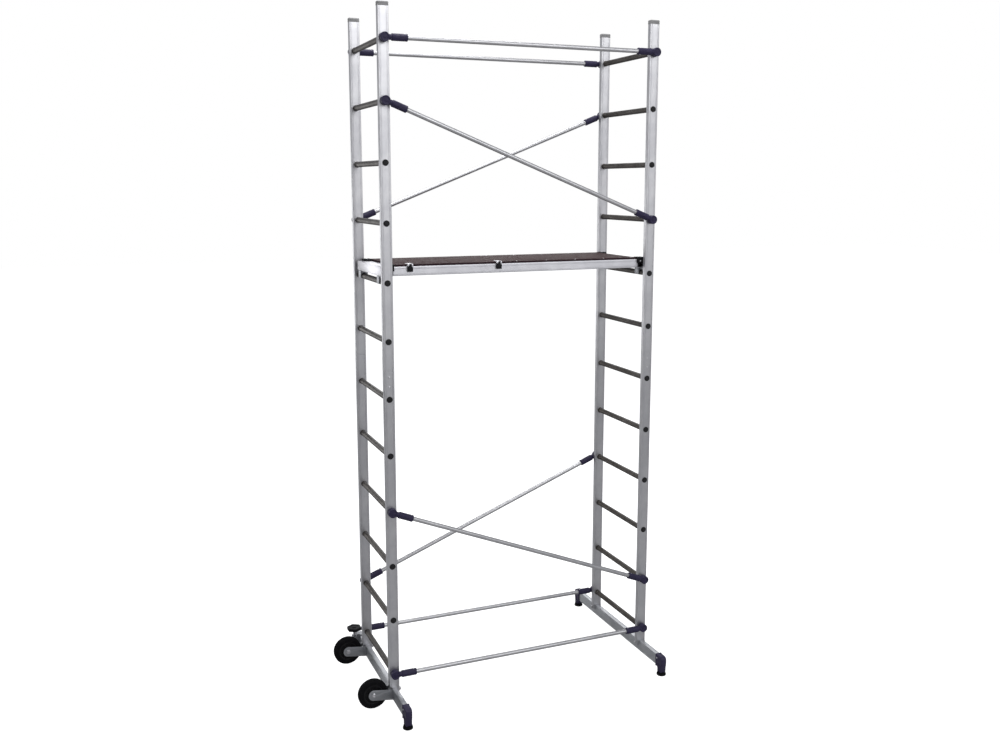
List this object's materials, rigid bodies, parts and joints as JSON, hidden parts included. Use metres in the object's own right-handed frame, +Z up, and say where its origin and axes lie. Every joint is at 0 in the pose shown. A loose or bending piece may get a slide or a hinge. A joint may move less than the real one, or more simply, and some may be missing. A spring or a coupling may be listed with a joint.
{
  "type": "ladder-frame scaffold tower",
  "caption": "Narrow rolling scaffold tower: stacked aluminium ladder frames, clip-on braces, base bars with feet, wheels at one end and a hook-on trapdoor deck.",
  "frame": {"origin": "on the floor, at the middle of the overall box", "axes": "+X from the wheeled end frame to the other, -Y the front, +Z up"},
  "size_m": [1.635, 1.03, 3.42],
  "materials": {
    "stile_aluminium": "satin mill finish, fine extrusion lines",
    "rung_aluminium": "dark anodised, ribbed",
    "plug_plastic": "moulded, matte",
    "spigot_aluminium": "mill finish",
    "cap_plastic": "moulded, matte",
    "fastener_steel": "zinc plated",
    "bar_aluminium": "satin mill finish, scuffed",
    "foot_plastic": "moulded, navy to black",
    "black_plastic": "moulded, fine grain",
    "bracket_metal": "grey painted pressed steel",
    "spindle_steel": "zinc plated, threaded",
    "tyre_rubber": "black rubber",
    "hub_plastic": "light grey moulded",
    "brace_aluminium": "drawn tube, satin",
    "clip_plastic": "moulded, deep indigo",
    "rail_aluminium": "satin mill finish",
    "deck_plywood": "brown film-faced plywood",
    "hinge_steel": "bright",
    "hinge_plastic": "moulded, dark"
  },
  "bodies": {
    "base_storey": {"lower_left_front_stile": "stile_aluminium", "lower_left_rear_stile": "stile_aluminium", "lower_right_front_stile": "stile_aluminium", "lower_right_rear_stile": "stile_aluminium", "lower_rungs": "rung_aluminium", "lower_rung_plugs": "plug_plastic", "stile_spigots": "spigot_aluminium", "frame_fasteners": "fastener_steel", "left_base_bar": "bar_aluminium", "right_base_bar": "bar_aluminium", "front_left_foot": "foot_plastic", "front_right_foot": "foot_plastic", "rear_right_foot": "foot_plastic", "bar_end_cap": "black_plastic", "levelling_bracket": "bracket_metal", "front_wheel_fork": "bracket_metal", "rear_wheel_fork": "bracket_metal"},
    "front_wheel": {"front_wheel_tyre": "tyre_rubber", "front_wheel_hub": "hub_plastic"},
    "rear_wheel": {"rear_wheel_tyre": "tyre_rubber", "rear_wheel_hub": "hub_plastic"},
    "levelling_foot": {"levelling_pad": "black_plastic"},
    "levelling_screw": {"levelling_spindle": "spindle_steel", "levelling_knob": "black_plastic"},
    "upper_storey": {"upper_left_front_stile": "stile_aluminium", "upper_left_rear_stile": "stile_aluminium", "upper_right_front_stile": "stile_aluminium", "upper_right_rear_stile": "stile_aluminium", "upper_rungs": "rung_aluminium", "upper_rung_plugs": "plug_plastic", "stile_caps": "cap_plastic"},
    "platform": {"front_platform_rail": "rail_aluminium", "rear_platform_rail": "rail_aluminium", "left_end_beam": "rail_aluminium", "right_end_beam": "rail_aluminium", "middle_beam": "rail_aluminium", "platform_hooks": "rail_aluminium", "deck_corners": "black_plastic", "deck_panel": "deck_plywood", "hinge_blocks": "hinge_plastic", "hinge_pins": "fastener_steel"},
    "hatch": {"hatch_panel": "deck_plywood", "hinge_leaves": "hinge_steel"},
    "front_low_rail_brace": {"front_low_rail_tube": "brace_aluminium", "front_low_rail_clips": "clip_plastic"},
    "rear_low_rail_brace": {"rear_low_rail_tube": "brace_aluminium", "rear_low_rail_clips": "clip_plastic"},
    "front_low_cross_brace": {"front_low_cross_tube": "brace_aluminium", "front_low_cross_clips": "clip_plastic"},
    "rear_low_cross_brace": {"rear_low_cross_tube": "brace_aluminium", "rear_low_cross_clips": "clip_plastic"},
    "front_top_cross_brace": {"front_top_cross_tube": "brace_aluminium", "front_top_cross_clips": "clip_plastic"},
    "rear_top_cross_brace": {"rear_top_cross_tube": "brace_aluminium", "rear_top_cross_clips": "clip_plastic"},
    "front_top_rail_brace": {"front_top_rail_tube": "brace_aluminium", "front_top_rail_clips": "clip_plastic"},
    "rear_top_rail_brace": {"rear_top_rail_tube": "brace_aluminium", "rear_top_rail_clips": "clip_plastic"}
  },
  "joints": [
    {"name": "front_wheel_spin", "type": "hinge", "parent": "base_storey", "child": "front_wheel", "pos_m": [-0.7425, -0.258, 0.088], "axis": [0, 1, 0], "continuous": true},
    {"name": "rear_wheel_spin", "type": "hinge", "parent": "base_storey", "child": "rear_wheel", "pos_m": [-0.7425, 0.258, 0.088], "axis": [0, 1, 0], "continuous": true},
    {"name": "levelling_travel", "type": "slide", "parent": "base_storey", "child": "levelling_foot", "axis": [0, 0, -1], "range_m": [0, 0.025]},
    {"name": "levelling_turn", "type": "hinge", "parent": "levelling_foot", "child": "levelling_screw", "pos_m": [-0.6685, 0.395, 0.05], "axis": [0, 0, -1], "range_deg": [0, 2250]},
    {"name": "storey_lift", "type": "slide", "parent": "base_storey", "child": "upper_storey", "axis": [0, 0, 1], "range_m": [0, 0.12]},
    {"name": "front_low_rail_release", "type": "slide", "parent": "base_storey", "child": "front_low_rail_brace", "axis": [0, -1, 0], "range_m": [0, 0.05]},
    {"name": "rear_low_rail_release", "type": "slide", "parent": "base_storey", "child": "rear_low_rail_brace", "axis": [0, 1, 0], "range_m": [0, 0.05]},
    {"name": "front_low_cross_release", "type": "slide", "parent": "base_storey", "child": "front_low_cross_brace", "axis": [0, -1, 0], "range_m": [0, 0.05]},
    {"name": "rear_low_cross_release", "type": "slide", "parent": "base_storey", "child": "rear_low_cross_brace", "axis": [0, 1, 0], "range_m": [0, 0.05]},
    {"name": "front_top_cross_release", "type": "slide", "parent": "upper_storey", "child": "front_top_cross_brace", "axis": [0, -1, 0], "range_m": [0, 0.05]},
    {"name": "rear_top_cross_release", "type": "slide", "parent": "upper_storey", "child": "rear_top_cross_brace", "axis": [0, 1, 0], "range_m": [0, 0.05]},
    {"name": "front_top_rail_release", "type": "slide", "parent": "upper_storey", "child": "front_top_rail_brace", "axis": [0, -1, 0], "range_m": [0, 0.05]},
    {"name": "rear_top_rail_release", "type": "slide", "parent": "upper_storey", "child": "rear_top_rail_brace", "axis": [0, 1, 0], "range_m": [0, 0.05]},
    {"name": "platform_lift", "type": "slide", "parent": "upper_storey", "child": "platform", "axis": [0, 0, 1], "range_m": [0, 0.06]},
    {"name": "hatch_hinge", "type": "hinge", "parent": "platform", "child": "hatch", "pos_m": [-0.2765, -0.227, 2.218], "axis": [1, 0, 0], "range_deg": [0, 90]}
  ],
  "couplings": [
    {"joint": "levelling_travel", "follows": "levelling_turn", "m_per_rad": 0.0006366}
  ]
}
